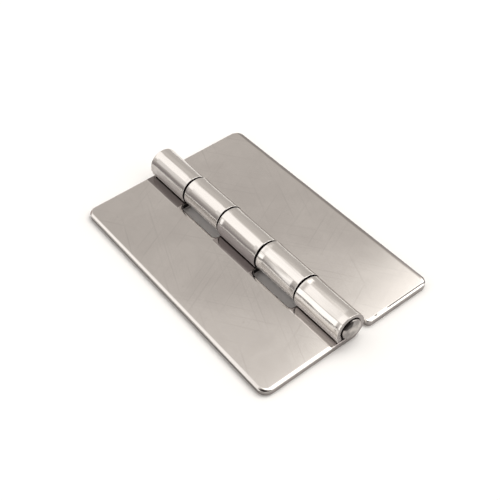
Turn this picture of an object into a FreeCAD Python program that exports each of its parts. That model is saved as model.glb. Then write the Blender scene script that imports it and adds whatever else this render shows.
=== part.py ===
import FreeCAD, Part
import math
import os

# Weld-on butt hinge in stainless steel, modelled lying open and flat.
# Two leaves are rolled from one sheet each, so that each leaf and its knuckles
# are one piece, and a plain round pin runs through all five knuckles.
# X runs across the leaves, Y runs along the pin and Z is up. The origin is on
# the face that the hinge lies on, straight under the middle of the pin.

# Driving dimensions in millimetres and degrees
leaf_length = 120.0
leaf_width = 40.0
sheet_thickness = 2.5
outer_corner_radius = 4.0
pin_diameter = 8.0
pin_clearance = 0.05
pin_dome_height = 1.2
pin_proud = 0.8
swinging_knuckle_length = 22.5
swinging_knuckle_count = 2
knuckle_gap = 0.9
notch_clearance = 1.95
notch_corner_radius = 2.0
roll_angle = 280.0
roll_end_gap = 0.3
edge_rounding = 0.5

# The most that the edge rounding may take of the sheet, and limits for telling
# a smooth join from a sharp edge and for finding an edge by its place
rounding_share = 0.3
smooth_join_angle = 1.0
edge_place_limit = 0.5

# Sizes that follow from the driving ones
pin_radius = pin_diameter / 2
bore_radius = pin_radius + pin_clearance
barrel_radius = bore_radius + sheet_thickness
pin_height = barrel_radius
notch_edge_from_pin = barrel_radius + notch_clearance
rounding = min(edge_rounding, rounding_share * sheet_thickness)
fixed_knuckle_count = swinging_knuckle_count + 1
gap_count = fixed_knuckle_count + swinging_knuckle_count - 1
fixed_knuckle_length = (
    leaf_length - swinging_knuckle_count * swinging_knuckle_length - gap_count * knuckle_gap
) / fixed_knuckle_count
knuckle_pitch = fixed_knuckle_length + swinging_knuckle_length + 2 * knuckle_gap

Y_AXIS = FreeCAD.Vector(0, 1, 0)
Z_AXIS = FreeCAD.Vector(0, 0, 1)
FIXED_SIDE = -1
SWINGING_SIDE = 1


def on_circle(radius, turn):
    """A point of the roll's section, turned from straight below the pin."""
    angle = math.radians(turn)
    return radius * math.sin(angle), pin_height - radius * math.cos(angle)


def rolled_section(side):
    """The sheet's section: a flat leaf that runs under the pin and curls over it."""
    run_x = math.cos(math.radians(roll_angle))
    run_z = math.sin(math.radians(roll_angle))
    outer_start = on_circle(barrel_radius, roll_angle)
    inner_start = on_circle(bore_radius, roll_angle)
    straight = (outer_start[1] - sheet_thickness - roll_end_gap) / -run_z
    outer_end = (outer_start[0] + straight * run_x, outer_start[1] + straight * run_z)
    inner_end = (inner_start[0] + straight * run_x, inner_start[1] + straight * run_z)

    def place(point):
        return FreeCAD.Vector(-side * point[0], -leaf_length / 2, point[1])

    def line(start, end):
        return Part.LineSegment(place(start), place(end)).toShape()

    def arc(radius):
        ends = on_circle(radius, 0), on_circle(radius, roll_angle)
        middle = on_circle(radius, roll_angle / 2)
        return Part.Arc(place(ends[0]), place(middle), place(ends[1])).toShape()

    edges = [
        line((-leaf_width, 0), (0, 0)),
        arc(barrel_radius),
        line(outer_start, outer_end),
        line(outer_end, inner_end),
        line(inner_end, inner_start),
        arc(bore_radius),
        line((0, sheet_thickness), (-leaf_width, sheet_thickness)),
        line((-leaf_width, sheet_thickness), (-leaf_width, 0)),
    ]
    return Part.Face(Part.Wire(Part.__sortEdges__(edges)))


def knuckle_spans(side):
    """Start and end of each knuckle of one leaf, along the pin."""
    start = -leaf_length / 2
    if side == FIXED_SIDE:
        return [
            (start + i * knuckle_pitch, start + i * knuckle_pitch + fixed_knuckle_length)
            for i in range(fixed_knuckle_count)
        ]
    start += fixed_knuckle_length + knuckle_gap
    return [
        (start + i * knuckle_pitch, start + i * knuckle_pitch + swinging_knuckle_length)
        for i in range(swinging_knuckle_count)
    ]


def notch_spans(side):
    """What lies between the knuckles of one leaf, and past them to the leaf's ends."""
    reach = leaf_length / 2 + barrel_radius
    stops = [-reach] + [y for span in knuckle_spans(side) for y in span] + [reach]
    pairs = list(zip(stops[0::2], stops[1::2]))
    return [pair for pair in pairs if -leaf_length / 2 < pair[1] and pair[0] < leaf_length / 2]


def upright_edges(shape):
    """Straight edges of a shape that stand along Z."""
    return [e for e in shape.Edges if abs(e.tangentAt(e.FirstParameter).dot(Z_AXIS)) > math.sqrt(0.5)]


def side_box(side, near_x, depth, span, low_z, high_z):
    """A box from near_x, out on the leaf's side, back towards and past the pin."""
    box = Part.makeBox(depth, span[1] - span[0], high_z - low_z)
    low_x = near_x if side == FIXED_SIDE else near_x - depth
    box.translate(FreeCAD.Vector(low_x, span[0], low_z))
    return box


def notch_cutter(side, span):
    """Clears the other leaf's knuckle: a slot with rounded corners in the flat
    of the leaf, and a square gap in the barrel above it."""
    past_pin = barrel_radius + sheet_thickness
    step = sheet_thickness + roll_end_gap / 2
    slot_edge = side * notch_edge_from_pin
    slot = side_box(side, slot_edge, notch_edge_from_pin + past_pin, span, -sheet_thickness, step)
    corners = [
        e for e in upright_edges(slot)
        if abs(e.CenterOfMass.x - slot_edge) < edge_place_limit and abs(e.CenterOfMass.y) < leaf_length / 2
    ]
    gap = side_box(side, side * past_pin, 2 * past_pin, span, step, pin_height + past_pin)
    return slot.makeFillet(notch_corner_radius, corners).fuse(gap)


def sharp_edges(shape):
    """Edges where two faces meet at an angle, leaving out smooth joins."""
    found = []
    for edge in shape.Edges:
        faces = shape.ancestorsOfType(edge, Part.Face)
        if len(faces) != 2:
            continue
        point = edge.valueAt((edge.FirstParameter + edge.LastParameter) / 2)
        normals = []
        for face in faces:
            u, v = face.Surface.parameter(point)
            normals.append(face.normalAt(u, v))
        if math.degrees(normals[0].getAngle(normals[1])) > smooth_join_angle:
            found.append(edge)
    return found


def round_plate_corners(leaf, side):
    """Rounds the leaf's two outer corners, and any free corner beside the barrel."""
    half = leaf_length / 2
    at_end = [e for e in upright_edges(leaf) if abs(abs(e.CenterOfMass.y) - half) < edge_place_limit]
    outer = [e for e in at_end if abs(e.CenterOfMass.x - side * leaf_width) < edge_place_limit]
    leaf = leaf.makeFillet(outer_corner_radius, outer)
    at_end = [e for e in upright_edges(leaf) if abs(abs(e.CenterOfMass.y) - half) < edge_place_limit]
    inner = [e for e in at_end if abs(e.CenterOfMass.x - side * notch_edge_from_pin) < edge_place_limit]
    if inner:
        leaf = leaf.makeFillet(notch_corner_radius, inner)
    return leaf


def rolled_leaf(side):
    """One leaf with its knuckles, rolled from one sheet and softened at every edge."""
    leaf = rolled_section(side).extrude(Y_AXIS * leaf_length)
    for span in notch_spans(side):
        leaf = leaf.cut(notch_cutter(side, span))
    leaf = round_plate_corners(leaf.removeSplitter(), side)
    return leaf.makeFillet(rounding, sharp_edges(leaf)).Solids[0]


def hinge_pin():
    """The round pin, with a low dome at each end that stands proud of the barrel."""
    tip = leaf_length / 2 + pin_proud
    shoulder = tip - pin_dome_height
    dome_radius = (pin_radius ** 2 + pin_dome_height ** 2) / (2 * pin_dome_height)
    half_angle = math.asin(pin_radius / dome_radius)
    centre = tip - dome_radius

    def dome_middle(end):
        reach = centre + dome_radius * math.cos(half_angle / 2)
        return FreeCAD.Vector(dome_radius * math.sin(half_angle / 2), end * reach, 0)

    def end_points(end):
        return FreeCAD.Vector(0, end * tip, 0), FreeCAD.Vector(pin_radius, end * shoulder, 0)

    far_tip, far_edge = end_points(1)
    near_tip, near_edge = end_points(-1)
    edges = [
        Part.Arc(far_tip, dome_middle(1), far_edge).toShape(),
        Part.LineSegment(far_edge, near_edge).toShape(),
        Part.Arc(near_edge, dome_middle(-1), near_tip).toShape(),
        Part.LineSegment(near_tip, far_tip).toShape(),
    ]
    half_section = Part.Face(Part.Wire(Part.__sortEdges__(edges)))
    pin = half_section.revolve(FreeCAD.Vector(0, 0, 0), Y_AXIS, 360)
    pin.translate(Z_AXIS * pin_height)
    return pin


sub_parts = {
    "leaf_with_three_knuckles": rolled_leaf(FIXED_SIDE),
    "leaf_with_two_knuckles": rolled_leaf(SWINGING_SIDE),
    "hinge_pin": hinge_pin(),
}

os.makedirs("parts", exist_ok=True)
for name, shape in sub_parts.items():
    shape.exportStep("parts/" + name + ".step")
    box = shape.BoundBox
    print(name, shape.isValid(), len(shape.Solids), round(shape.Volume, 1), box)
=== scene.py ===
import math
from collections import namedtuple
from types import SimpleNamespace

import bmesh
import bpy
from mathutils import Matrix, Vector


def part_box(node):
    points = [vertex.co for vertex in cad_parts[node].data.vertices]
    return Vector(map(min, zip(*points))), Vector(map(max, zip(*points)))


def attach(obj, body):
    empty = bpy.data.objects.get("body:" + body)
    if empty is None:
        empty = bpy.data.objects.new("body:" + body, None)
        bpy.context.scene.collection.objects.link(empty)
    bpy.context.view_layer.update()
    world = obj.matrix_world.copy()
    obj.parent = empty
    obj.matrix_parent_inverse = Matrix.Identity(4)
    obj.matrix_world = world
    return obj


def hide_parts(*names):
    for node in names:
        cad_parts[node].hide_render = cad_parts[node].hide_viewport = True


# A weld-on butt hinge in polished stainless steel, lying open on a pale floor. X runs
# across the leaves, Y along the pin and Z up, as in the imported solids. The camera looks
# from -X and -Y, so that the near end of the pin is the one at -Y.

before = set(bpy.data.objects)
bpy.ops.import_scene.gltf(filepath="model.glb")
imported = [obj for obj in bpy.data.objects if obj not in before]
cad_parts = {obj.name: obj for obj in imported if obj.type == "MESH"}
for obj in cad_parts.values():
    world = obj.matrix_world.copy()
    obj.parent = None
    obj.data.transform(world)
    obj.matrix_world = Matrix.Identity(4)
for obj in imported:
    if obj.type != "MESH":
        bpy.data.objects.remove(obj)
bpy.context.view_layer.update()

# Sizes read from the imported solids, in metres
leaf_low, leaf_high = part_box("leaf_with_three_knuckles")
pin_low, pin_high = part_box("hinge_pin")
LEAF_WIDTH = -leaf_low.x
HALF_LENGTH = leaf_high.y
BARREL_RADIUS = leaf_high.z / 2
PIN_RADIUS = (pin_high.x - pin_low.x) / 2
PIN_HALF_LENGTH = pin_high.y

# Sizes and counts that the solids were built with, in metres and degrees
SHEET = 0.0025
OUTER_CORNER = 0.004
NOTCH_CORNER = 0.002
NOTCH_CLEARANCE = 0.00195
SWINGING_KNUCKLE = 0.0225
SWINGING_COUNT = 2
KNUCKLE_GAP = 0.0009
ROLL_ANGLE = math.radians(280)

# How the real sheet is finished. Its top edges roll off: how far across, how far down
# and how late the curve comes. Its underside keeps a sharp edge, the outside of the roll
# sits off centre towards its own leaf, each knuckle flares at its ends, and the roll
# stops a little above the leaf.
LEAF_ROLL_OFF = (0.0017, 0.0008, 3.0)
LONG_EDGE_ROLL_OFF = (0.0015, 0.00060, 2.0)
BORE_ROLL_OFF = (0.0022, 0.0012, 2.0)
UNDER_ROUNDING = 0.0003
KNUCKLE_ROUNDING = 0.00014
ROLL_END_ROUNDING = 0.0004
ROLL_END_GAP = 0.00052
ROLL_OFF_CENTRE = 0.00013
WAIST = 0.00012
FLARE_LENGTH = 0.003

# The pin's ends are hammered into a head, a little wider than the rod and off its
# middle, whose rounded shoulder carries a low crown
HEAD_RADIUS = PIN_RADIUS + 0.0004
SHOULDER_WIDTH = 0.0009
SHOULDER_HEIGHT = 0.0007
CROWN_HEIGHT = 0.00012
HEAD_NECK = 0.0008
HEAD_SHIFT = (0.0002, -0.0002)

# How finely the pieces are divided
ARC_STEPS = 176
STRAIGHT_STEPS = 6
KNUCKLE_STEPS = 36
TOP_EDGE_STEPS = 14
UNDER_EDGE_STEPS = 6
CORNER_STEPS = 14
CROWN_RINGS = 12
SHOULDER_RINGS = 12
NECK_RINGS = 6
PIN_SEGMENTS = 128
MERGE_DISTANCE = 1e-7

NOTCH_EDGE = BARREL_RADIUS + NOTCH_CLEARANCE
NECK = NOTCH_EDGE - NOTCH_CORNER
MID_RADIUS = BARREL_RADIUS - SHEET / 2
ROLL_LENGTH = ROLL_ANGLE * MID_RADIUS
FIXED_COUNT = SWINGING_COUNT + 1
GAP_COUNT = SWINGING_COUNT + FIXED_COUNT - 1
SWINGING_LENGTH = SWINGING_COUNT * SWINGING_KNUCKLE
FIXED_KNUCKLE = (2 * HALF_LENGTH - SWINGING_LENGTH - GAP_COUNT * KNUCKLE_GAP) / FIXED_COUNT
PITCH = FIXED_KNUCKLE + SWINGING_KNUCKLE + 2 * KNUCKLE_GAP
FIXED_SIDE = -1
SWINGING_SIDE = 1


def smooth(value, low, high):
    """0 below low, 1 above high and an even curve between."""
    share = min(max((value - low) / (high - low), 0), 1)
    return share * share * (3 - 2 * share)


def mix(a, b, share):
    return a + (b - a) * share


def knuckle_spans(side):
    """Start and end of each knuckle along the pin, in the solids' own layout."""
    start, length, count = -HALF_LENGTH, FIXED_KNUCKLE, FIXED_COUNT
    if side == SWINGING_SIDE:
        start, length, count = start + FIXED_KNUCKLE + KNUCKLE_GAP, SWINGING_KNUCKLE, SWINGING_COUNT
    return [(start + i * PITCH, start + i * PITCH + length) for i in range(count)]


# The rolled sheet. A point of the flat sheet has u across it, from the outer edge at
# -LEAF_WIDTH to the rolled end, y along the pin and n through its thickness, from the
# underside, which becomes the barrel's outside, to the top.

def straight_length():
    """Length of the roll's last, straight stretch, which stops just above the leaf."""
    start_height = BARREL_RADIUS * (1 - math.cos(ROLL_ANGLE))
    return (start_height - SHEET - ROLL_END_GAP) / -math.sin(ROLL_ANGLE)


SHEET_END = ROLL_LENGTH + straight_length()


def rolled(u):
    """Point on the sheet's underside, the way across it and the way through it, in XZ."""
    turn = min(max(u / MID_RADIUS, 0), ROLL_ANGLE)
    along = Vector((math.cos(turn), math.sin(turn)))
    through = Vector((-math.sin(turn), math.cos(turn)))
    point = Vector((BARREL_RADIUS * math.sin(turn), BARREL_RADIUS * (1 - math.cos(turn))))
    past = u if u < 0 else max(u - ROLL_LENGTH, 0)
    return point + past * along, along, through


def outside_share(u, n):
    """1 on the outside of the roll, 0 on its inside and on the flat leaf."""
    return smooth(u, 0, ROLL_LENGTH / 4) * (1 - n / SHEET)


def waist(y, span):
    """How far the roll's outside sinks between a knuckle's flared ends, and its slope."""
    from_near, from_far = y - span[0], span[1] - y
    share = min(max(min(from_near, from_far) / FLARE_LENGTH, 0), 1)
    slope = 6 * share * (1 - share) * WAIST / FLARE_LENGTH
    return WAIST * smooth(share, 0, 1), slope if from_near < from_far else -slope


def edge_profile(u, long_edge=0.0):
    """Points of the sheet's edge from underside to top: how far in from the edge, the
    height in the sheet, and the way out as (outward, through). long_edge is 1 on the
    leaf's long outer edge and 0 on its short ones."""
    share = smooth(u, -NECK, PIN_RADIUS / 2)
    kinds = zip(LEAF_ROLL_OFF, LONG_EDGE_ROLL_OFF, BORE_ROLL_OFF)
    wide, deep, power = [mix(mix(leaf, long, long_edge), bore, share) for leaf, long, bore in kinds]
    outside = mix(UNDER_ROUNDING, KNUCKLE_ROUNDING, share)
    points = []
    for i in range(UNDER_EDGE_STEPS + 1):
        a = math.pi / 2 * i / UNDER_EDGE_STEPS
        inset = outside * (1 - math.sin(a))
        points.append((inset, outside * (1 - math.cos(a)), Vector((math.sin(a), -math.cos(a)))))
    for i in range(TOP_EDGE_STEPS + 1):
        a = math.pi / 2 * i / TOP_EDGE_STEPS
        across = max(math.cos(a), 0) ** (2 / power)
        rise = math.sin(a) ** (2 / power)
        out = Vector((across ** (power - 1) / wide, rise ** (power - 1) / deep)).normalized()
        points.append((wide * (1 - across), SHEET - deep * (1 - rise), out))
    return points


class Sheet:
    """Collects the faces of one rolled leaf, with an exact normal at each vertex."""

    def __init__(self, side):
        self.side = side
        self.mesh = bmesh.new()
        self.normals = self.mesh.verts.layers.float_vector.new("exact_normal")

    def vertex(self, u, y, n, normal):
        """normal is (across, along the pin, through) in the flat sheet."""
        point, along, through = rolled(u)
        place = point + n * through
        place.x -= ROLL_OFF_CENTRE * outside_share(u, n)
        facing = normal[0] * along + normal[2] * through
        vert = self.mesh.verts.new((-self.side * place.x, y, place.y))
        vert[self.normals] = Vector((-self.side * facing.x, normal[1], facing.y)).normalized()
        return vert

    def strip(self, first, second, closed=False):
        """Faces between two rows of vertices."""
        count = len(first)
        for i in range(count if closed else count - 1):
            j = (i + 1) % count
            self.mesh.faces.new((first[i], first[j], second[j], second[i]))

    def to_object(self, name):
        """The finished mesh as an object, shaded with the exact normals."""
        bmesh.ops.remove_doubles(self.mesh, verts=self.mesh.verts[:], dist=MERGE_DISTANCE)
        bmesh.ops.recalc_face_normals(self.mesh, faces=self.mesh.faces[:])
        self.mesh.verts.ensure_lookup_table()
        exact = [tuple(v[self.normals]) for v in self.mesh.verts]
        data = bpy.data.meshes.new(name)
        self.mesh.to_mesh(data)
        self.mesh.free()
        data.attributes.remove(data.attributes["exact_normal"])
        data.shade_smooth()
        data.normals_split_custom_set_from_vertices(exact)
        piece = bpy.data.objects.new(name, data)
        bpy.context.scene.collection.objects.link(piece)
        return piece


def section_points(u, span):
    """The closed outline of a knuckle's section at u, as (y, n, (outward y, through))."""
    profile = edge_profile(u)
    low, high = span
    near = [(low + inset, n, (-out[0], out[1])) for inset, n, out in profile]
    far = [(high - inset, n, (out[0], out[1])) for inset, n, out in reversed(profile)]

    def between(start, end, n, through):
        return [
            (mix(start, end, i / KNUCKLE_STEPS), n, (0, through)) for i in range(1, KNUCKLE_STEPS)
        ]

    return near + between(near[-1][0], far[0][0], SHEET, 1) + far + between(far[-1][0], near[0][0], 0, -1)


def add_knuckle(sheet, span):
    """One knuckle, from the neck where it leaves the leaf to the rolled end."""
    neck_steps = [mix(-NECK, 0, i / STRAIGHT_STEPS) for i in range(STRAIGHT_STEPS)]
    arc = [mix(0, ROLL_LENGTH, i / ARC_STEPS) for i in range(ARC_STEPS)]
    last = SHEET_END - ROLL_END_ROUNDING
    tail = [mix(ROLL_LENGTH, last, i / STRAIGHT_STEPS) for i in range(STRAIGHT_STEPS + 1)]
    rows = []

    def vertex(u, y, n, normal):
        depth, slope = waist(y, span)
        share = outside_share(u, n)
        return sheet.vertex(u, y, n + depth * share, (normal[0], normal[1] + slope * share, normal[2]))

    for u in neck_steps + arc + tail:
        rows.append([vertex(u, y, n, (0, out[0], out[1])) for y, n, out in section_points(u, span)])
    low, high = span[0] + ROLL_END_ROUNDING, span[1] - ROLL_END_ROUNDING
    section = section_points(last, span)
    for i in range(1, UNDER_EDGE_STEPS + 1):
        a = math.pi / 2 * i / UNDER_EDGE_STEPS
        row = []
        for y, n, out in section:
            kept_y = min(max(y, low), high)
            kept_n = min(max(n, ROLL_END_ROUNDING), SHEET - ROLL_END_ROUNDING)
            place = (mix(kept_y, y, math.cos(a)), mix(kept_n, n, math.cos(a)))
            normal = (math.sin(a), out[0] * math.cos(a), out[1] * math.cos(a))
            row.append(vertex(last + ROLL_END_ROUNDING * math.sin(a), place[0], place[1], normal))
        rows.append(row)
    for first, second in zip(rows, rows[1:]):
        sheet.strip(first, second, closed=True)
    sheet.mesh.faces.new(rows[-1])
    side_count = UNDER_EDGE_STEPS + TOP_EDGE_STEPS + 2
    neck = rows[0]
    top_row = neck[side_count - 1:side_count + KNUCKLE_STEPS]
    under_row = [neck[0]] + neck[:2 * side_count + KNUCKLE_STEPS - 2:-1]
    return top_row, under_row


def rounded_path(corners):
    """Points and outward ways along a line of corners, each (u, y, radius)."""
    points = []
    for i, (u, y, radius) in enumerate(corners):
        here = Vector((u, y))
        ways = []
        if i > 0:
            ways.append((here - Vector(corners[i - 1][:2])).normalized())
        if i < len(corners) - 1:
            ways.append((Vector(corners[i + 1][:2]) - here).normalized())
        if len(ways) == 1:
            points.append((here, Vector((-ways[0].y, ways[0].x))))
            continue
        before, after = ways
        turn = before.x * after.y - before.y * after.x
        centre = here - before * radius + after * radius
        for step in range(CORNER_STEPS + 1):
            a = math.pi / 2 * step / CORNER_STEPS
            spoke = -after * math.cos(a) + before * math.sin(a)
            points.append((centre + spoke * radius, spoke if turn < 0 else -spoke))
    return points


def add_edge(sheet, corners):
    """The leaf's edge along a line of corners. Returns its top and underside rows."""
    rows = []
    for place, out in rounded_path(corners):
        row = []
        for inset, n, way in edge_profile(-LEAF_WIDTH, smooth(-out.x, 0, 1)):
            point = place - out * inset
            row.append(sheet.vertex(point.x, point.y, n, (out.x * way[0], out.y * way[0], way[1])))
        rows.append(row)
    for first, second in zip(rows, rows[1:]):
        sheet.strip(first, second)
    return [row[-1] for row in rows], [row[0] for row in rows]


def add_flat(sheet, rows):
    """Closes the flat top or underside of the leaf through rows of vertices."""
    loop = []
    for row in rows:
        for vert in row:
            if not loop or (vert.co - loop[-1].co).length > MERGE_DISTANCE:
                loop.append(vert)
    if (loop[0].co - loop[-1].co).length <= MERGE_DISTANCE:
        loop.pop()
    sheet.mesh.faces.new(loop)


def make_leaf(name, side, body):
    """One leaf and its knuckles as one closed mesh: the edges and the knuckles in turn,
    and then the flat top and underside between them."""
    spans = knuckle_spans(side)
    sheet = Sheet(side)
    outer = [(-LEAF_WIDTH, -HALF_LENGTH, OUTER_CORNER), (-LEAF_WIDTH, HALF_LENGTH, OUTER_CORNER)]
    if side == SWINGING_SIDE:
        first, last = spans[0][0], spans[-1][1]
        near_step = [(-NOTCH_EDGE, first, NOTCH_CORNER), (-NOTCH_EDGE, -HALF_LENGTH, NOTCH_CORNER)]
        far_step = [(-NOTCH_EDGE, HALF_LENGTH, NOTCH_CORNER), (-NOTCH_EDGE, last, NOTCH_CORNER)]
        outer = near_step + outer + far_step
    outer = [(-NECK, spans[0][0], 0)] + outer + [(-NECK, spans[-1][1], 0)]
    top, under = add_edge(sheet, outer)
    top_rows, under_rows = [top], [under]
    for i in reversed(range(len(spans))):
        top, under = add_knuckle(sheet, spans[i])
        top_rows.append(top[::-1])
        under_rows.append(under[::-1])
        if i > 0:
            start, end = spans[i][0], spans[i - 1][1]
            notch = [(-NECK, start, 0), (-NOTCH_EDGE, start, NOTCH_CORNER)]
            notch += [(-NOTCH_EDGE, end, NOTCH_CORNER), (-NECK, end, 0)]
            top, under = add_edge(sheet, notch)
            top_rows.append(top)
            under_rows.append(under)
    add_flat(sheet, top_rows)
    add_flat(sheet, under_rows)
    piece = sheet.to_object(name)
    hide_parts(name)
    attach(piece, body)
    return piece


def head_profile():
    """The pin's end from the middle of its crown to the rod: radius, place along Y and
    how much of the head's shift it takes."""
    points = []
    flat = HEAD_RADIUS - SHOULDER_WIDTH
    for i in range(1, CROWN_RINGS):
        share = i / CROWN_RINGS
        points.append((flat * share, PIN_HALF_LENGTH - CROWN_HEIGHT * share ** 2, 1.0))
    for i in range(SHOULDER_RINGS + 1):
        a = math.pi / 2 * i / SHOULDER_RINGS
        drop = CROWN_HEIGHT + SHOULDER_HEIGHT * (1 - math.cos(a))
        points.append((flat + SHOULDER_WIDTH * math.sin(a), PIN_HALF_LENGTH - drop, 1.0))
    for i in range(1, NECK_RINGS + 1):
        drop = CROWN_HEIGHT + SHOULDER_HEIGHT + HEAD_NECK * i / NECK_RINGS
        narrow = smooth(i / NECK_RINGS, 0, 1)
        points.append((mix(HEAD_RADIUS, PIN_RADIUS, narrow), PIN_HALF_LENGTH - drop, 1.0 - narrow))
    return points


def make_pin():
    """The pin as a turned rod with a hammered head at each end."""
    mesh = bmesh.new()
    profile = head_profile()
    stations = [(radius, -along, shifted) for radius, along, shifted in profile]
    stations += [(radius, along, shifted) for radius, along, shifted in reversed(profile)]
    rows = []
    for radius, along, shifted in stations:
        middle = (HEAD_SHIFT[0] * shifted, BARREL_RADIUS + HEAD_SHIFT[1] * shifted)
        row = []
        for j in range(PIN_SEGMENTS):
            a = 2 * math.pi * j / PIN_SEGMENTS
            place = (middle[0] + radius * math.cos(a), along, middle[1] + radius * math.sin(a))
            row.append(mesh.verts.new(place))
        rows.append(row)
    for first, second in zip(rows, rows[1:]):
        for j in range(PIN_SEGMENTS):
            k = (j + 1) % PIN_SEGMENTS
            mesh.faces.new((first[j], first[k], second[k], second[j]))
    for row, end in ((rows[0], -1), (rows[-1], 1)):
        tip = mesh.verts.new((HEAD_SHIFT[0], end * PIN_HALF_LENGTH, BARREL_RADIUS + HEAD_SHIFT[1]))
        for j in range(PIN_SEGMENTS):
            mesh.faces.new((row[j], row[(j + 1) % PIN_SEGMENTS], tip))
    bmesh.ops.recalc_face_normals(mesh, faces=mesh.faces[:])
    data = bpy.data.meshes.new("hinge_pin_turned")
    mesh.to_mesh(data)
    mesh.free()
    data.shade_smooth()
    pin = bpy.data.objects.new("hinge_pin_turned", data)
    bpy.context.scene.collection.objects.link(pin)
    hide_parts("hinge_pin")
    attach(pin, "fixed_leaf")
    return pin


# The steel's colours, roughness and metalness, zone by zone. Near is the knuckle at the
# near end of the pin and far the one at its other end.
LEAF_LIGHT = (0.640, 0.612, 0.587, 1.0)
LEAF_DARK = (0.485, 0.460, 0.440, 1.0)
BARREL_LIGHT = (0.720, 0.692, 0.665, 1.0)
BARREL_DARK = (0.600, 0.573, 0.550, 1.0)
# The dull side's three tones (palest near, darkest in the middle) are painted light and shade
DULL_PAINTED_SHADE_COLOUR = (0.440, 0.406, 0.400, 1.0)
NEAR_DULL_PAINTED_LIGHT_COLOUR = (0.860, 0.825, 0.795, 1.0)
FAR_DULL_PAINTED_LIGHT_COLOUR = (0.660, 0.628, 0.605, 1.0)
# Painted reflection and shade for the strip of the leaf beside the roll's end
MIRROR_SHADE_COLOUR = (0.300, 0.270, 0.264, 1.0)
FAR_MIRROR_SHADE_COLOUR = (0.210, 0.188, 0.184, 1.0)
# Dull steel of the sheared walls and scratches, also used as painted shade inside the roll and along the
# long edge
SHEARED_AND_SHADE_COLOUR = (0.330, 0.305, 0.295, 1.0)
# Painted black shade for the gaps between the knuckles, also the colour of the line along the near edge
GAP_SHADE_AND_LINE_COLOUR = (0.070, 0.065, 0.062, 1.0)
# Painted glint along the edge of that strip, the barrel's mirrored highlight
MIRROR_GLINT_COLOUR = (0.960, 0.930, 0.900, 1.0)
# Painted light on the bend of the swinging leaf's roll
BEND_PAINTED_LIGHT_COLOUR = (0.800, 0.765, 0.735, 1.0)
LEAF_GLOSS = 0.075
BARREL_GLOSS = 0.11
DULL_GLOSS = 0.42
SHEARED_GLOSS = 0.27
BEND_GLOSS = 0.30
DULL_METALLIC = 0.5
ANISOTROPY = 0.3

# Patterns in the steel: features per metre, the same every way or along X, Y and Z
CLOUD_SCALE = 60.0
PATCH_SCALE = 16.0
WANDER_SCALE = 140.0
SPECK_SCALE = 520.0
LINE_BREAK_SCALE = 150.0
GRAIN_STRETCH = (2400.0, 50.0, 2400.0)
STREAK_STRETCH = (500.0, 14.0, 500.0)
RIPPLE_STRETCH = (600.0, 60.0, 600.0)
SCRATCH_STRETCH = (1500.0, 22.0, 1500.0)

# How far each set of scratches is turned from the pin's direction, in degrees
SCRATCH_TURNS = (21, -34, 64)

# Shares of the patterns in the leaf's shade, how far they change its roughness and how
# strongly its scratches and specks show
CLOUD_SHADE = 0.78
GRAIN_SHADE = 0.12
STREAK_SHADE = 0.10
WIPED_SHADE = 0.10
SHADE_SHIFT = 0.05
CLOUD_GLOSS = 0.03
PATCH_GLOSS = 0.03
MARK_STRENGTH = 0.13

# Relief in metres: the fine grain, and the dents of the barrel, which are half as deep
# past the first of two places along the pin as before the second
GRAIN_DEPTH = 3e-6
RIPPLE_DEPTH = 1.3e-4
RIPPLE_FADE = (0.000, -0.020)

# Each zone's border is a pair: where its mask is 0 and where it is 1. The first ones are
# in metres: along the pin, up from the floor, out from the pin's middle (reach) or out
# from the pin towards the leaf's own side (own).
NEAR_KNUCKLE_END = (-0.0365, -0.0355)
FAR_KNUCKLE_START = (0.0355, 0.0365)
BARREL_REACH = (BARREL_RADIUS + 0.0006, BARREL_RADIUS + 0.0003)
BARREL_HEIGHT = (SHEET, SHEET + 0.0004)
INSIDE_REACH = (0.0059, 0.0055)
WALL_OWN = (BARREL_RADIUS + 0.001, BARREL_RADIUS + 0.002)
GAP_ALONG = (HALF_LENGTH - 0.001, HALF_LENGTH - 0.002)
OWN_SIDE = (0.0, 0.001)
OTHER_SIDE = (0.0, -0.001)

# The same for slopes, as a share of the normal: how far the walls face up, how far the
# end faces face along the pin, and how far the rolled-off edges tilt
WALL_FACES_UP = (0.35, 0.15)
END_FACES_END = (0.90, 0.98)
ROLLED_EDGE_SLOPE = (0.0015, 0.02)

# Borders that wander, in metres: how far they do, how high above the pin the dull side
# reaches at the near knuckle and at the others, and how its edge and the bend's fade
WANDER = 0.0012
DULL_TOP = (0.0003, 0.0026)
DULL_FADE = (0.0005, -0.0005)
BEND_FADE = (0.0035, 0.0)

# The strip of the leaf beside the roll's end, darkened as a painted reflection of the barrel
# and painted shade in the crease: how far out it reaches and how strong it is, at the near
# knuckle and at the others, how its edge fades, where it is strongest, how it fades upwards,
# the share of the wander that it takes and how it fades at a knuckle's ends. A painted glint,
# the barrel's mirrored highlight, runs along its edge.
MIRROR_SHADE_EDGE = (0.0088, 0.0097)
MIRROR_SHADE_STRENGTH = (0.6, 1.0)
MIRROR_SHADE_FADE = (0.0003, -0.0003)
MIRROR_SHADE_DEEP_OWN = (0.0084, 0.0068)
MIRROR_SHADE_HEIGHT = (SHEET + 0.0004, SHEET + 0.0001)
MIRROR_SHADE_WANDER = 0.4
MIRROR_SHADE_SIDE_FADE = 0.0003
MIRROR_GLINT_STRENGTH = (0.55, 0.15)
MIRROR_GLINT_OFFSET = 0.0003
MIRROR_GLINT_FADE = (0.00028, 0.00005)
MIRROR_GLINT_HEIGHT = (SHEET - 0.0002, SHEET - 0.0001)

# The leaf with two knuckles: its long edge, darkened partly as unpolished steel and partly as
# a painted dark reflection, which waves with the clouds, and the broken line that the shears
# left along its near edge
RIM_OWN = (LEAF_WIDTH - 0.0016, LEAF_WIDTH - 0.0008)
RIM_WAVE = 0.0008
SHEAR_LINE_INSET = 0.0010
SHEAR_LINE_FADE = (0.00045, 0.00020)
SHEAR_LINE_OWN = (NOTCH_EDGE + 0.003, NOTCH_EDGE + 0.005)

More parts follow.
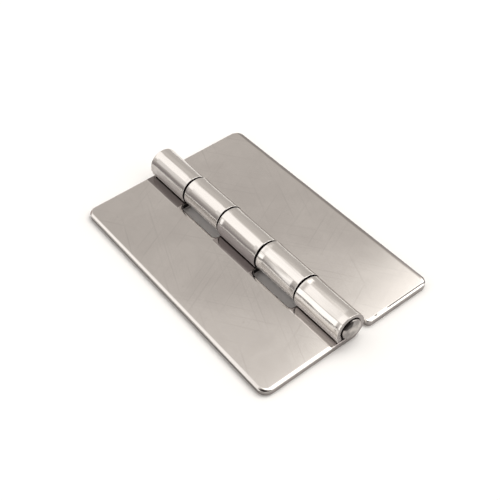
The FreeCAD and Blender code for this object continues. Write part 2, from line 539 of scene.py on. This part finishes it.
# Borders in the noise, from 0 to 1: wiped patches, specks, scratches and line breaks
WIPED_NOISE = (0.49, 0.53)
SPECK_NOISE = (0.73, 0.80)
SCRATCH_NOISE = (0.62, 0.76)
LINE_BREAK_NOISE = (0.36, 0.46)


class Nodes:
    """Short calls for building a node tree."""

    def __init__(self, tree):
        self.tree = tree
        tree.nodes.clear()

    def add(self, kind, inputs=None, **settings):
        """A new node, with each input linked to another node's output or set to a value."""
        node = self.tree.nodes.new(kind)
        for key, value in settings.items():
            setattr(node, key, value)
        for key, value in (inputs or {}).items():
            if hasattr(value, "is_output"):
                self.tree.links.new(value, node.inputs[key])
            else:
                node.inputs[key].default_value = value
        return node

    def math(self, operation, a, b=0.0, c=0.0):
        return self.add("ShaderNodeMath", {0: a, 1: b, 2: c}, operation=operation).outputs[0]

    def product(self, first, *others):
        """Everything given, multiplied."""
        for other in others:
            first = self.math("MULTIPLY", first, other)
        return first

    def length(self, a, b):
        return self.math("SQRT", self.math("MULTIPLY_ADD", a, a, self.math("MULTIPLY", b, b)))

    def vector_math(self, operation, a, b, output):
        return self.add("ShaderNodeVectorMath", {0: a, 1: b}, operation=operation).outputs[output]

    def parts(self, vector):
        """The X, Y and Z of a vector."""
        return tuple(self.add("ShaderNodeSeparateXYZ", {0: vector}).outputs)

    def smooth(self, value, low, high):
        """0 at low, 1 at high and an even curve between. low may be the larger."""
        node = self.add("ShaderNodeMapRange", {"Value": value, "From Min": low, "From Max": high})
        node.interpolation_type = "SMOOTHSTEP"
        return node.outputs["Result"]

    def colour_mix(self, share, first, second):
        inputs = {"Factor": share, 6: first, 7: second}
        return self.add("ShaderNodeMix", inputs, data_type="RGBA").outputs[2]

    def blend(self, share, first, second):
        return self.add("ShaderNodeMix", {"Factor": share, 2: first, 3: second}).outputs[0]

    def noise(self, vector, scale, detail=3.0, roughness=0.5, distortion=0.0):
        inputs = {"Vector": vector, "Scale": scale, "Detail": detail, "Roughness": roughness}
        inputs["Distortion"] = distortion
        return self.add("ShaderNodeTexNoise", inputs).outputs["Fac"]

    def long_noise(self, vector, stretch, detail=3.0, roughness=0.5):
        """Noise drawn out along the axis on which stretch is smallest."""
        stretched = self.add("ShaderNodeMapping", {"Vector": vector, "Scale": stretch})
        return self.noise(stretched.outputs["Vector"], 1.0, detail, roughness)

    def turned(self, vector, degrees):
        turn = (0.0, 0.0, math.radians(degrees))
        return self.add("ShaderNodeMapping", {"Vector": vector, "Rotation": turn}).outputs["Vector"]


def new_material(name):
    """An empty material and the calls that build its nodes."""
    material = bpy.data.materials.new(name)
    material.use_nodes = True
    return material, Nodes(material.node_tree)


class Finish:
    """The colour, roughness and metalness of a surface, covered zone by zone."""

    def __init__(self, nodes, colour, gloss):
        self.nodes = nodes
        self.colour = colour
        self.gloss = gloss
        self.metallic = 1.0

    def cover(self, share, colour=None, gloss=None, metallic=None):
        """Lays a zone over what is there. What isn't given stays as it is."""
        if colour is not None:
            self.colour = self.nodes.colour_mix(share, self.colour, colour)
        if gloss is not None:
            self.gloss = self.nodes.blend(share, self.gloss, gloss)
        if metallic is not None:
            self.metallic = self.nodes.blend(share, self.metallic, metallic)

    def shade(self, normal):
        """Steel whose grain runs along the pin, so that reflections spread across it."""
        across = self.nodes.add("ShaderNodeTangent", direction_type="RADIAL", axis="Y").outputs[0]
        shader = self.nodes.add("ShaderNodeBsdfPrincipled", {
            "Base Color": self.colour,
            "Metallic": self.metallic,
            "Roughness": self.gloss,
            "Anisotropic": ANISOTROPY,
            "Tangent": across,
            "Normal": normal,
        })
        self.nodes.add("ShaderNodeOutputMaterial", {"Surface": shader.outputs[0]})


def leaf_spot(nodes, side):
    """Where a point of a leaf lies and which way it faces: along the pin, its height above
    the floor, out on the leaf's own side, up from the pin's middle, and its reach from
    there. past_near is 0 at the near knuckle and 1 past it, and at_far 1 at the far one."""
    coordinates = nodes.add("ShaderNodeTexCoord")
    spot = SimpleNamespace(place=coordinates.outputs["Object"])
    x, spot.along, spot.height = nodes.parts(spot.place)
    _, faces_end, faces_up = nodes.parts(coordinates.outputs["Normal"])
    spot.faces_end = nodes.math("ABSOLUTE", faces_end)
    spot.faces_up = nodes.math("ABSOLUTE", faces_up)
    spot.from_middle = nodes.math("ABSOLUTE", spot.along)
    spot.own = nodes.math("MULTIPLY", x, side)
    spot.up = nodes.math("SUBTRACT", spot.height, BARREL_RADIUS)
    spot.reach = nodes.length(spot.own, spot.up)
    wave = nodes.noise(spot.place, WANDER_SCALE)
    spot.wander = nodes.math("MULTIPLY_ADD", wave, WANDER, -WANDER / 2)
    spot.wandering_up = nodes.math("ADD", spot.up, spot.wander)
    spot.past_near = nodes.smooth(spot.along, *NEAR_KNUCKLE_END)
    spot.at_far = nodes.smooth(spot.along, *FAR_KNUCKLE_START)
    return spot


def leaf_patterns(nodes, place):
    """The noises that the leaf's colour, roughness and relief are made from."""
    return SimpleNamespace(
        grain=nodes.long_noise(place, GRAIN_STRETCH, roughness=0.6),
        streaks=nodes.long_noise(place, STREAK_STRETCH),
        ripple=nodes.long_noise(place, RIPPLE_STRETCH, detail=1.0),
        clouds=nodes.noise(place, CLOUD_SCALE, detail=5.0, roughness=0.6, distortion=0.6),
        patches=nodes.noise(place, PATCH_SCALE, detail=2.0, distortion=0.8),
    )


def wear(nodes, place):
    """Faint marks of handling on the polished sheet: hair-thin scratches and small specks."""
    marks = nodes.smooth(nodes.noise(place, SPECK_SCALE, detail=1.0), *SPECK_NOISE)
    for turn in SCRATCH_TURNS:
        hairs = nodes.long_noise(nodes.turned(place, turn), SCRATCH_STRETCH, detail=1.0)
        marks = nodes.math("MAXIMUM", marks, nodes.smooth(hairs, *SCRATCH_NOISE))
    return marks


def polished_colour(nodes, spot, patterns, barrel):
    """The leaf's cloudy grey, and the brighter barrel and rolled-off edges."""
    shade = nodes.math("MULTIPLY", patterns.streaks, STREAK_SHADE)
    shade = nodes.math("MULTIPLY_ADD", patterns.grain, GRAIN_SHADE, shade)
    shade = nodes.math("MULTIPLY_ADD", patterns.clouds, CLOUD_SHADE, shade)
    wiped = nodes.smooth(patterns.patches, *WIPED_NOISE)
    shade = nodes.math("MULTIPLY_ADD", wiped, WIPED_SHADE, nodes.math("SUBTRACT", shade, SHADE_SHIFT))
    leaf = nodes.colour_mix(shade, LEAF_DARK, LEAF_LIGHT)
    marks = nodes.math("MULTIPLY", wear(nodes, spot.place), MARK_STRENGTH)
    leaf = nodes.colour_mix(marks, leaf, SHEARED_AND_SHADE_COLOUR)
    rolled_edge = nodes.smooth(nodes.math("SUBTRACT", 1.0, spot.faces_up), *ROLLED_EDGE_SLOPE)
    bright = nodes.math("MAXIMUM", barrel, rolled_edge)
    return nodes.colour_mix(bright, leaf, nodes.colour_mix(patterns.streaks, BARREL_DARK, BARREL_LIGHT))


def leaf_gloss(nodes, patterns):
    """The leaf's roughness, which changes a little with its clouds and patches."""
    patchy = nodes.math("MULTIPLY_ADD", patterns.patches, PATCH_GLOSS, LEAF_GLOSS)
    return nodes.math("MULTIPLY_ADD", patterns.clouds, CLOUD_GLOSS, patchy)


def barrel_zone(nodes, spot):
    """The rolled part, above the flat leaf."""
    rolled_part = nodes.smooth(spot.reach, *BARREL_REACH)
    return nodes.product(rolled_part, nodes.smooth(spot.height, *BARREL_HEIGHT))


def dull_zone(nodes, spot, barrel):
    """The low side of the roll over its own leaf, which the buffing wheel doesn't reach."""
    over = nodes.math("SUBTRACT", spot.wandering_up, nodes.blend(spot.past_near, *DULL_TOP))
    return nodes.product(nodes.smooth(over, *DULL_FADE), nodes.smooth(spot.own, *OWN_SIDE), barrel)


def dull_painted_light_colour(nodes, spot):
    """The dull side's colour, with painted light and shade: palest at the near knuckle, darkest at the
    middle ones.
    """
    colour = nodes.colour_mix(spot.past_near, NEAR_DULL_PAINTED_LIGHT_COLOUR, DULL_PAINTED_SHADE_COLOUR)
    return nodes.colour_mix(spot.at_far, colour, FAR_DULL_PAINTED_LIGHT_COLOUR)


def bend_painted_light_zone(nodes, spot, barrel, sheared_and_shade):
    """The low side of the roll where it bends up out of its leaf, painted pale and half matte as painted
    light.
    """
    low = nodes.smooth(spot.wandering_up, *BEND_FADE)
    polished = nodes.math("SUBTRACT", 1.0, sheared_and_shade)
    return nodes.product(barrel, nodes.smooth(spot.own, *OTHER_SIDE), low, polished)


def end_face_zone(nodes, spot):
    """The faces that close the leaf and its knuckles along the pin."""
    return nodes.smooth(spot.faces_end, *END_FACES_END)


def sheared_and_shade_zone(nodes, spot, end_faces):
    """Everything the shears cut, and the inside of the roll, whose darkness is partly painted shade in
    the groove round the pin's head.
    """
    wall = nodes.product(nodes.smooth(spot.faces_up, *WALL_FACES_UP), nodes.smooth(spot.own, *WALL_OWN))
    cut = nodes.math("MAXIMUM", wall, end_faces)
    return nodes.math("MAXIMUM", cut, nodes.smooth(spot.reach, *INSIDE_REACH))


def beside_knuckles(nodes, spot, side):
    """Where the leaf has a knuckle of its own beside it: outside the middle of the
    swinging knuckles for the fixed leaf, and at it for the swinging one."""
    edge, fade = SWINGING_KNUCKLE / 2, -MIRROR_SHADE_SIDE_FADE
    if side == FIXED_SIDE:
        edge, fade = edge + KNUCKLE_GAP, MIRROR_SHADE_SIDE_FADE
    from_swinging = nodes.math("ABSOLUTE", nodes.math("SUBTRACT", spot.from_middle, PITCH / 2))
    return nodes.smooth(from_swinging, edge, edge + fade)


def mirror_shade_and_glint_zones(nodes, spot, side):
    """Painted reflection and shade on the strip of the leaf beside the roll's end, and a painted glint
    along its edge.
    """
    beside = beside_knuckles(nodes, spot, side)
    edge = nodes.math("MULTIPLY_ADD", spot.wander, MIRROR_SHADE_WANDER, nodes.blend(spot.past_near, *MIRROR_SHADE_EDGE))
    past_edge = nodes.math("SUBTRACT", spot.own, edge)
    mirror_shade = nodes.product(
        nodes.smooth(past_edge, *MIRROR_SHADE_FADE),
        nodes.smooth(spot.height, *MIRROR_SHADE_HEIGHT),
        beside,
        nodes.math(
            "MAXIMUM",
            nodes.smooth(spot.own, *MIRROR_SHADE_DEEP_OWN),
            nodes.blend(spot.past_near, *MIRROR_SHADE_STRENGTH),
        ),
    )
    from_mirror_glint = nodes.math("ABSOLUTE", nodes.math("SUBTRACT", past_edge, MIRROR_GLINT_OFFSET))
    mirror_glint = nodes.product(
        nodes.smooth(from_mirror_glint, *MIRROR_GLINT_FADE),
        beside,
        nodes.smooth(spot.height, *MIRROR_GLINT_HEIGHT),
        nodes.blend(spot.past_near, *MIRROR_GLINT_STRENGTH),
    )
    return mirror_shade, mirror_glint


def rim_dull_and_shade_zone(nodes, spot, clouds):
    """The long edge, darkened partly as unpolished steel and partly as a painted dark reflection."""
    return nodes.smooth(nodes.math("MULTIPLY_ADD", clouds, RIM_WAVE, spot.own), *RIM_OWN)


def shear_line_zone(nodes, spot):
    """The broken line along the near edge."""
    from_line = nodes.math("ADD", spot.along, HALF_LENGTH - SHEAR_LINE_INSET)
    return nodes.product(
        nodes.smooth(nodes.math("ABSOLUTE", from_line), *SHEAR_LINE_FADE),
        nodes.smooth(nodes.noise(spot.place, LINE_BREAK_SCALE), *LINE_BREAK_NOISE),
        nodes.smooth(spot.own, *SHEAR_LINE_OWN),
    )


def leaf_relief(nodes, spot, patterns, barrel):
    """The grain's fine relief, and the dents that lengthen the barrel's reflections."""
    fine = nodes.add("ShaderNodeBump", {
        "Strength": 1.0, "Distance": GRAIN_DEPTH, "Height": patterns.grain,
    })
    dented = nodes.math("MULTIPLY_ADD", nodes.smooth(spot.along, *RIPPLE_FADE), 0.5, 0.5)
    dents = nodes.add("ShaderNodeBump", {
        "Strength": 1.0,
        "Distance": RIPPLE_DEPTH,
        "Height": nodes.product(barrel, dented, patterns.ripple),
        "Normal": fine.outputs["Normal"],
    })
    return dents.outputs["Normal"]


def leaf_material(name, side):
    """Polished sheet. The buffing wheel doesn't reach the lower side of the barrel, the sheared
    walls or the barrel's mouth, which stay dull. The mouth's darkness is partly painted shade,
    and the dull side's tone from knuckle to knuckle is painted light and shade. The leaf right
    beside the roll's end carries a painted reflection, shade and glint, and the gaps between
    the knuckles carry painted black shade. On the swinging leaf, the bend is painted light and
    the long edge is partly a painted dark reflection."""
    material, nodes = new_material(name)
    spot = leaf_spot(nodes, side)
    patterns = leaf_patterns(nodes, spot.place)
    barrel = barrel_zone(nodes, spot)
    end_faces = end_face_zone(nodes, spot)
    sheared_and_shade = sheared_and_shade_zone(nodes, spot, end_faces)
    mirror_shade, mirror_glint = mirror_shade_and_glint_zones(nodes, spot, side)
    gap_shade = nodes.product(nodes.smooth(spot.from_middle, *GAP_ALONG), end_faces)

    finish = Finish(nodes, polished_colour(nodes, spot, patterns, barrel), leaf_gloss(nodes, patterns))
    finish.cover(barrel, gloss=BARREL_GLOSS)
    # The dull side, unpolished, with its tone per knuckle painted light and shade
    finish.cover(dull_zone(nodes, spot, barrel), dull_painted_light_colour(nodes, spot), DULL_GLOSS, DULL_METALLIC)
    # Painted glint, then painted reflection and shade, on the leaf beside the roll's end
    finish.cover(mirror_glint, MIRROR_GLINT_COLOUR)
    finish.cover(mirror_shade, nodes.colour_mix(spot.at_far, MIRROR_SHADE_COLOUR, FAR_MIRROR_SHADE_COLOUR))
    # Sheared walls, and the inside of the roll with painted shade in its groove
    finish.cover(sheared_and_shade, SHEARED_AND_SHADE_COLOUR, SHEARED_GLOSS)
    # Painted black shade on the end faces in the gaps between the knuckles
    finish.cover(gap_shade, GAP_SHADE_AND_LINE_COLOUR)
    if side == SWINGING_SIDE:
        # Long edge darkened, partly unpolished and partly a painted dark reflection
        finish.cover(rim_dull_and_shade_zone(nodes, spot, patterns.clouds), SHEARED_AND_SHADE_COLOUR)
        finish.cover(shear_line_zone(nodes, spot), GAP_SHADE_AND_LINE_COLOUR)
        # Painted light on the bend of the roll
        finish.cover(bend_painted_light_zone(nodes, spot, barrel, sheared_and_shade), BEND_PAINTED_LIGHT_COLOUR, BEND_GLOSS, DULL_METALLIC)
    finish.shade(leaf_relief(nodes, spot, patterns, barrel))
    return material


# The pin is mottled, and each of its ends carries painted shade at the upper left of its head:
# its middle, and from how far off to how far it darkens
PIN_LIGHT = (0.54, 0.51, 0.485, 1.0)
PIN_DARK = (0.27, 0.252, 0.243, 1.0)
PIN_MOTTLE_SCALE = 320.0
PIN_MOTTLE_NOISE = (0.35, 0.65)
PIN_GLOSS = 0.18
PIN_MOTTLE_GLOSS = 0.12
PIN_RELIEF = 3e-5
PIN_SHADE_PLACE = (-0.0019, 0.0, BARREL_RADIUS + 0.0041)
PIN_SHADE_REACH = (0.0034, 0.0027)
PIN_SHADE_WAVE = 0.0012
PIN_SHADE_COLOUR = (0.060, 0.054, 0.052, 1.0)


def pin_material():
    """Turned rod: a little darker and rougher than the polished sheet."""
    material, nodes = new_material("pin_steel")
    place = nodes.add("ShaderNodeTexCoord").outputs["Object"]
    clouds = nodes.noise(place, PIN_MOTTLE_SCALE, detail=4.0, roughness=0.6)
    colour = nodes.colour_mix(nodes.smooth(clouds, *PIN_MOTTLE_NOISE), PIN_DARK, PIN_LIGHT)
    across, _, up = nodes.parts(nodes.vector_math("SUBTRACT", place, PIN_SHADE_PLACE, "Vector"))
    from_pin_shade = nodes.math("MULTIPLY_ADD", clouds, PIN_SHADE_WAVE, nodes.length(across, up))
    relief = nodes.add("ShaderNodeBump", {"Strength": 1.0, "Distance": PIN_RELIEF, "Height": clouds})
    finish = Finish(nodes, colour, nodes.math("MULTIPLY_ADD", clouds, PIN_MOTTLE_GLOSS, PIN_GLOSS))
    # Painted shade at the upper left of each head
    finish.cover(nodes.smooth(from_pin_shade, *PIN_SHADE_REACH), PIN_SHADE_COLOUR)
    finish.shade(relief.outputs["Normal"])
    return material


# The floor's colours, and where painted shade darkens it: from how far off its middle, and
# from how far to the left, in metres
FLOOR_COLOUR = (0.93, 0.925, 0.915, 1.0)
SHADED_FLOOR_COLOUR = (0.30, 0.295, 0.29, 1.0)
FLOOR_MIDDLE = (0.03, 0.0, 0.0)
FLOOR_FADE = (0.245, 0.33)
FLOOR_LEFT_WAY = (-0.893, 0.450, 0.0)
FLOOR_LEFT_FADE = (0.103, 0.125)
FLOOR_ROUGHNESS = 0.9
FLOOR_SHINE = 0.1


def floor_material():
    """Pale floor with painted shade beyond the picture's edge, so that the polished barrel
    doesn't mirror an endless white plain."""
    material, nodes = new_material("pale_floor")
    place = nodes.add("ShaderNodeTexCoord").outputs["Object"]
    off_middle = nodes.vector_math("DISTANCE", place, FLOOR_MIDDLE, "Value")
    to_left = nodes.vector_math("DOT_PRODUCT", place, FLOOR_LEFT_WAY, "Value")
    # Painted shade: the floor darkens far off and to the left
    floor_shade = nodes.math(
        "MAXIMUM", nodes.smooth(off_middle, *FLOOR_FADE), nodes.smooth(to_left, *FLOOR_LEFT_FADE)
    )
    shader = nodes.add("ShaderNodeBsdfPrincipled", {
        "Base Color": nodes.colour_mix(floor_shade, FLOOR_COLOUR, SHADED_FLOOR_COLOUR),
        "Roughness": FLOOR_ROUGHNESS,
        "Specular IOR Level": FLOOR_SHINE,
    })
    nodes.add("ShaderNodeOutputMaterial", {"Surface": shader.outputs[0]})
    return material


# The studio is described by directions round the pin, in degrees: turn goes from +X over
# the top to -X, and lean from the middle towards +Y. The surround is a soft gradient of
# turn, brightness and tint.
SURROUND = (
    (0.0, 0.72, (1.00, 0.95, 0.90)),
    (10.8, 0.63, (1.00, 0.95, 0.90)),
    (55.8, 0.78, (1.00, 0.95, 0.90)),
    (68.4, 0.765, (1.00, 0.95, 0.90)),
    (136.8, 0.74, (1.00, 0.95, 0.90)),
    (151.2, 0.66, (1.00, 0.95, 0.90)),
    (169.2, 0.36, (1.00, 0.92, 0.90)),
    (183.6, 0.28, (1.00, 0.90, 0.89)),
    (360.0, 0.60, (1.00, 0.95, 0.90)),
)

# Soft panels, each over the ones before it. turn and lean are from, to and softness, and
# slant is how much lean grows with each degree of turn.
Panel = namedtuple("Panel", "turn lean slant brightness tint")
PANELS = (
    # The dim near end of the room
    Panel((-10, 190, 1), (-90, -18, 10), 0, 0.20, (1.00, 0.93, 0.88)),
    # Darkness round the camera
    Panel((86, 136, 8), (-90, 18, 6), 0, 0.04, (1.00, 0.80, 0.82)),
    # A weak light behind the camera
    Panel((92, 172, 8), (-66, -36, 8), 0, 0.38, (1.00, 0.88, 0.86)),
    # A white sheet overhead, whose far edge the two leaves mirror at two slants
    Panel((48, 61.3, 0.5), (-60, 26.1, 0.6), 1.18, 0.98, (1.00, 0.955, 0.91)),
    Panel((61.3, 80, 0.5), (-60, 36.9, 0.6), 0.98, 0.98, (1.00, 0.955, 0.91)),
    # Lights at the near end, high and low on the right, for the leaves' near edges
    Panel((32, 70, 6), (-66, -10, 6), 0, 1.8, (1.00, 0.97, 0.94)),
    Panel((4, 30, 5), (-44, -24, 5), 0, 2.2, (1.00, 0.985, 0.96)),
    # The main light, high on the right
    Panel((36, 80, 7), (-10, 22.3, 7), 0, 4.8, (1.00, 0.985, 0.955)),
    # A broad light overhead towards the far end, which the barrel mirrors along its top
    Panel((77, 136, 6), (26, 50, 5), 0, 1.5, (1.00, 0.975, 0.95)),
    # A weak light low at the far end, a little red
    Panel((80, 140, 6), (55, 90, 4), 0, 0.58, (1.00, 0.83, 0.82)),
    # Lights on the left, for the left side of the near knuckles and of the far one
    Panel((141, 178, 2), (2, 32, 1), 0, 1.7, (1.00, 0.985, 0.96)),
    Panel((124, 153, 4), (39, 52, 1.5), 0, 1.0, (1.00, 0.97, 0.94)),
    # A low light on the right, which the shoulder of the pin's head mirrors
    Panel((-2, 26, 3), (-32, -7, 4), 0, 2.6, (1.00, 0.985, 0.96)),
)


def light_colour(brightness, tint):
    """Brightness and tint as one colour, which may be brighter than white."""
    return [brightness * part for part in tint] + [1.0]


def surround_light(nodes, turn):
    """The gradient round the pin."""
    whole_turn = nodes.math("WRAP", turn, 2 * math.pi, 0.0)
    ramp = nodes.add("ShaderNodeValToRGB", {0: nodes.math("MULTIPLY", whole_turn, 0.5 / math.pi)})
    stops = ramp.color_ramp.elements
    for degrees, _, _ in SURROUND[1:-1]:
        stops.new(degrees / 360)
    for stop, (_, brightness, tint) in zip(stops, SURROUND):
        stop.color = light_colour(brightness, tint)
    return ramp.outputs["Color"]


def soft_range(nodes, value, low, high, soft):
    """1 between two angles in degrees, fading to 0 outside them."""
    low, high, soft = math.radians(low), math.radians(high), math.radians(soft)
    rising = nodes.smooth(value, low - soft, low + soft)
    return nodes.product(rising, nodes.smooth(value, high + soft, high - soft))


def panel_mask(nodes, turn, lean, panel):
    """1 where a panel covers the surround and 0 outside it."""
    from_middle = nodes.math("SUBTRACT", turn, math.radians(sum(panel.turn[:2]) / 2))
    slanted = nodes.math("SUBTRACT", lean, nodes.math("MULTIPLY", from_middle, panel.slant))
    return nodes.product(soft_range(nodes, turn, *panel.turn), soft_range(nodes, slanted, *panel.lean))


def make_studio():
    """Lights the scene with the surround and its panels."""
    world = bpy.data.worlds.new("studio")
    world.use_nodes = True
    bpy.context.scene.world = world
    nodes = Nodes(world.node_tree)
    x, y, z = nodes.parts(nodes.add("ShaderNodeTexCoord").outputs["Generated"])
    turn = nodes.math("ARCTAN2", z, x)
    lean = nodes.math("ARCSINE", y)
    light = surround_light(nodes, turn)
    for panel in PANELS:
        mask = panel_mask(nodes, turn, lean, panel)
        light = nodes.colour_mix(mask, light, light_colour(panel.brightness, panel.tint))
    background = nodes.add("ShaderNodeBackground", {"Color": light, "Strength": 1.0})
    nodes.add("ShaderNodeOutputWorld", {"Surface": background.outputs[0]})


# Half the floor's width, and how far it lies below the leaves, in metres
FLOOR_HALF = 3.0
FLOOR_DROP = 2e-5


def make_floor():
    """The plain square that the hinge lies on."""
    data = bpy.data.meshes.new("floor")
    square = ((-1, -1), (1, -1), (1, 1), (-1, 1))
    corners = [(x * FLOOR_HALF, y * FLOOR_HALF, -FLOOR_DROP) for x, y in square]
    data.from_pydata(corners, [], [(0, 1, 2, 3)])
    floor = bpy.data.objects.new("floor", data)
    bpy.context.scene.collection.objects.link(floor)
    data.materials.append(floor_material())


# The photograph's camera, fitted to the hinge's edges: metres, radians and pixels, with
# the width of the sensor in millimetres
CAMERA_PLACE = Vector((-0.13865, -0.20327, 0.26094))
CAMERA_TARGET = Vector((-0.00030, -0.00076, 0.0))
CAMERA_ROLL = -0.0823
FOCAL_PIXELS = 895.1
IMAGE_PIXELS = 500
SENSOR_WIDTH = 36.0
CLIP_START = 0.01
CLIP_END = 20.0


def make_camera():
    """The camera, aimed at its target and then rolled."""
    data = bpy.data.cameras.new("camera")
    data.sensor_width = SENSOR_WIDTH
    data.lens = FOCAL_PIXELS / IMAGE_PIXELS * SENSOR_WIDTH
    data.clip_start = CLIP_START
    data.clip_end = CLIP_END
    camera = bpy.data.objects.new("camera", data)
    bpy.context.scene.collection.objects.link(camera)
    forward = (CAMERA_TARGET - CAMERA_PLACE).normalized()
    right = forward.cross(Vector((0, 0, 1))).normalized()
    up = right.cross(forward)
    c, s = math.cos(CAMERA_ROLL), math.sin(CAMERA_ROLL)
    axes = (c * right + s * up, c * up - s * right, -forward)
    turn = Matrix([[axis[i] for axis in axes] for i in range(3)])
    camera.matrix_world = Matrix.Translation(CAMERA_PLACE) @ turn.to_4x4()
    bpy.context.scene.camera = camera


fixed_leaf = make_leaf("leaf_with_three_knuckles", FIXED_SIDE, "fixed_leaf")
swinging_leaf = make_leaf("leaf_with_two_knuckles", SWINGING_SIDE, "swinging_leaf")
pin = make_pin()
fixed_leaf.data.materials.append(leaf_material("leaf_steel_three_knuckles", FIXED_SIDE))
swinging_leaf.data.materials.append(leaf_material("leaf_steel_two_knuckles", SWINGING_SIDE))
pin.data.materials.append(pin_material())

make_studio()
make_floor()
make_camera()
bpy.context.scene.view_settings.view_transform = "Standard"
